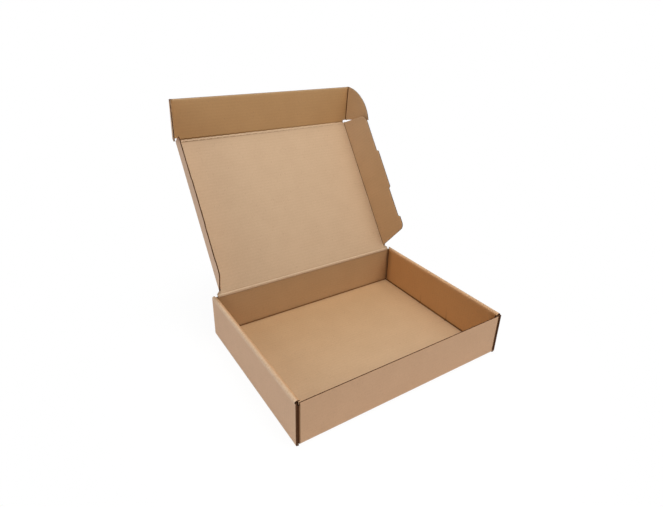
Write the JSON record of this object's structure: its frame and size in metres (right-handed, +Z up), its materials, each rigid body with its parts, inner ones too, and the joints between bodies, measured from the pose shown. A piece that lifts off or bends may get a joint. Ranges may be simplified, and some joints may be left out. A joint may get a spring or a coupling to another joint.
{
  "type": "corrugated mailer box",
  "caption": "Shallow folding mailer box of brown corrugated board with rolled double side walls, a hinged lid, side flaps and a tuck flap with quarter-round ears.",
  "frame": {"origin": "centre of the tray's underside", "axes": "+X to the right along the front wall, +Y towards the back wall that carries the lid, +Z up"},
  "size_m": [0.4072, 0.4713, 0.389],
  "materials": {
    "tray_board": "matte",
    "lid_board": "matte"
  },
  "bodies": {
    "tray": {"tray": "tray_board"},
    "lid": {"lid": "lid_board"},
    "left_side_flap": {"left_side_flap": "lid_board"},
    "right_side_flap": {"right_side_flap": "lid_board"},
    "front_tuck_flap": {"front_tuck_flap": "lid_board"},
    "left_ear": {"left_ear": "lid_board"},
    "right_ear": {"right_ear": "lid_board"}
  },
  "joints": [
    {"name": "lid_hinge", "type": "hinge", "parent": "tray", "child": "lid", "pos_m": [0, 0.1482, 0.078], "axis": [1, 0, 0], "range_deg": [-64, 126]},
    {"name": "tuck_flap_crease", "type": "hinge", "parent": "lid", "child": "front_tuck_flap", "pos_m": [0, 0.32054, 0.3152], "axis": [1, 0, 0], "range_deg": [-32, 63]},
    {"name": "left_side_flap_crease", "type": "hinge", "parent": "lid", "child": "left_side_flap", "pos_m": [-0.1837, 0.1482, 0.078], "axis": [0, 0.5878, 0.809], "range_deg": [-5.9, 11.6]},
    {"name": "right_side_flap_crease", "type": "hinge", "parent": "lid", "child": "right_side_flap", "pos_m": [0.1837, 0.1482, 0.078], "axis": [0, -0.5878, -0.809], "range_deg": [-3.36, 6.6]},
    {"name": "left_ear_crease", "type": "hinge", "parent": "front_tuck_flap", "child": "left_ear", "pos_m": [-0.1885, 0.32054, 0.3152], "axis": [0, -0.0872, 0.9962], "range_deg": [-7.57, 14.9]},
    {"name": "right_ear_crease", "type": "hinge", "parent": "front_tuck_flap", "child": "right_ear", "pos_m": [0.1885, 0.32054, 0.3152], "axis": [0, 0.0872, -0.9962], "range_deg": [-4.02, 7.91]}
  ],
  "couplings": [
    {"joint": "tuck_flap_crease", "follows": "lid_hinge", "ratio": 0.5},
    {"joint": "left_side_flap_crease", "follows": "lid_hinge", "ratio": 0.09206},
    {"joint": "right_side_flap_crease", "follows": "lid_hinge", "ratio": 0.05238},
    {"joint": "left_ear_crease", "follows": "lid_hinge", "ratio": 0.11825},
    {"joint": "right_ear_crease", "follows": "lid_hinge", "ratio": 0.0627}
  ]
}
